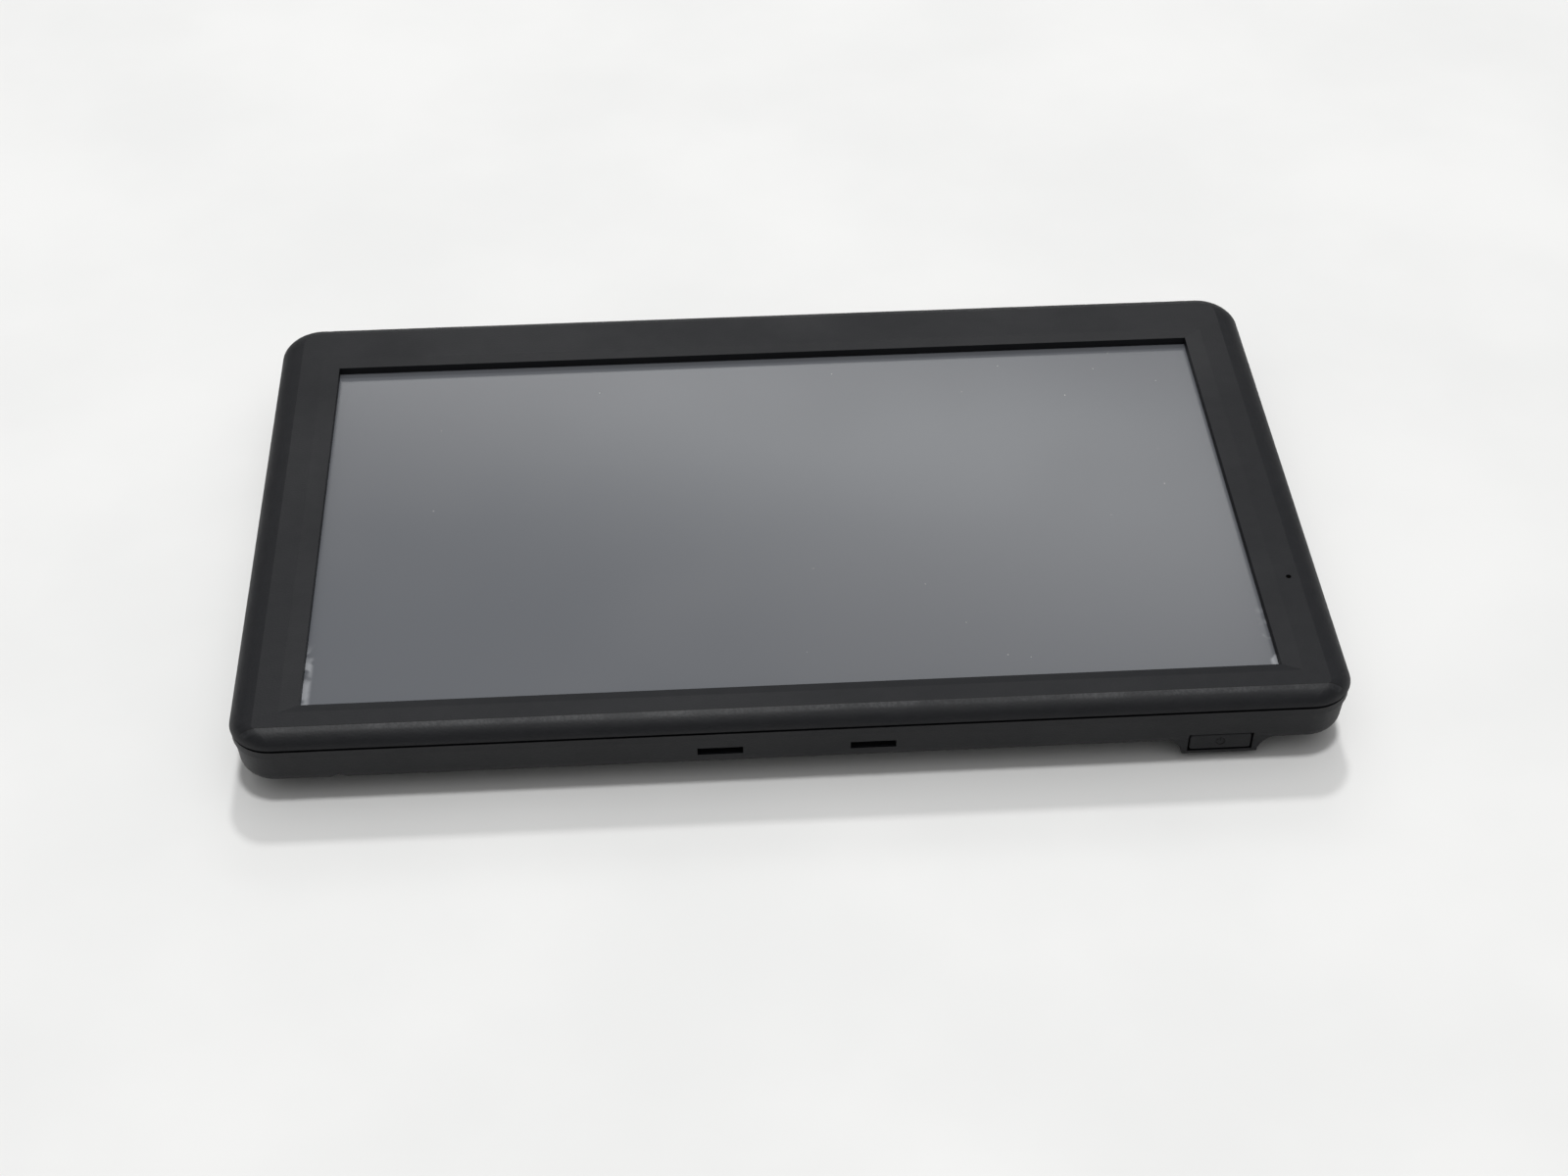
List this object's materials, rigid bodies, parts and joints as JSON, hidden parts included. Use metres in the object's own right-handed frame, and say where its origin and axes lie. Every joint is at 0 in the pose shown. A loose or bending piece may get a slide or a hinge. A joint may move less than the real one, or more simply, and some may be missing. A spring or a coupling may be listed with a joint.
{
  "type": "e-reader",
  "caption": "Flat black reading tablet with a wide matte touch screen, rolled-edge bezel, clip slots and a power button in a small bulge on one long edge.",
  "frame": {"origin": "centre of the bounding box on the plane the back rests on", "axes": "+X along the long side, +Y from the edge with the power button to the far edge, +Z out of the screen"},
  "size_m": [0.177, 0.1082, 0.014],
  "materials": {
    "case_plastic": "matte",
    "matte_film": "satin",
    "clear_glass": "gloss",
    "display_glass": "gloss",
    "light_guide": "satin",
    "black_foam": "matte",
    "adhesive": "matte",
    "steel": "satin",
    "screw_steel": "satin",
    "circuit_board": "satin",
    "chip_resin": "matte",
    "black_nylon": "satin",
    "connector_plastic": "matte",
    "ribbon_film": "satin",
    "battery_foil": "satin",
    "red_insulation": "satin",
    "black_insulation": "satin",
    "speaker_shell": "satin",
    "mesh": "matte",
    "soft_rubber": "matte",
    "brass": "satin"
  },
  "bodies": {
    "reader": {"front_bezel": "case_plastic", "rear_housing": "case_plastic", "touch_film": "matte_film", "touch_glass": "clear_glass", "lcd_cell": "display_glass", "lcd_backlight": "light_guide", "bezel_gasket": "black_foam", "speaker_seal": "black_foam", "display_adhesive": "adhesive", "battery_tape_1": "adhesive", "battery_tape_2": "adhesive", "lcd_tray": "steel", "display_bracket": "steel", "usb_socket": "steel", "card_socket": "steel", "processor_shield": "steel", "case_screw_1": "screw_steel", "case_screw_2": "screw_steel", "case_screw_3": "screw_steel", "case_screw_4": "screw_steel", "bracket_screw_1": "screw_steel", "bracket_screw_2": "screw_steel", "bracket_screw_3": "screw_steel", "bracket_screw_4": "screw_steel", "board_screw_1": "screw_steel", "board_screw_2": "screw_steel", "board_screw_3": "screw_steel", "main_board": "circuit_board", "key_board": "circuit_board", "driver_board": "circuit_board", "processor_chip": "chip_resin", "memory_chip": "chip_resin", "storage_chip": "chip_resin", "power_chip": "chip_resin", "power_coil": "chip_resin", "headphone_jack": "black_nylon", "usb_contacts": "black_nylon", "switch_body": "black_nylon", "lcd_connector": "connector_plastic", "touch_connector": "connector_plastic", "battery_connector": "connector_plastic", "speaker_connector": "connector_plastic", "lcd_ribbon": "ribbon_film", "touch_ribbon": "ribbon_film", "key_ribbon": "ribbon_film", "antenna_patch": "ribbon_film", "battery_cell": "battery_foil", "battery_lead_red": "red_insulation", "battery_lead_black": "black_insulation", "speaker_lead_1": "black_insulation", "speaker_lead_2": "black_insulation", "antenna_lead": "black_insulation", "speaker": "speaker_shell", "speaker_mesh": "mesh", "microphone_boot": "soft_rubber", "microphone": "brass", "antenna_connector": "brass"},
    "button": {"power_button": "case_plastic"},
    "plunger": {"switch_plunger": "black_nylon"}
  },
  "joints": [
    {"name": "power_press", "type": "slide", "parent": "reader", "child": "button", "axis": [0, 1, 0], "range_m": [0, 0.0005], "stiffness_N_per_m": 400},
    {"name": "plunger_press", "type": "slide", "parent": "reader", "child": "plunger", "axis": [0, 1, 0], "range_m": [0, 0.0005]}
  ],
  "couplings": [
    {"joint": "plunger_press", "follows": "power_press", "ratio": 1}
  ]
}
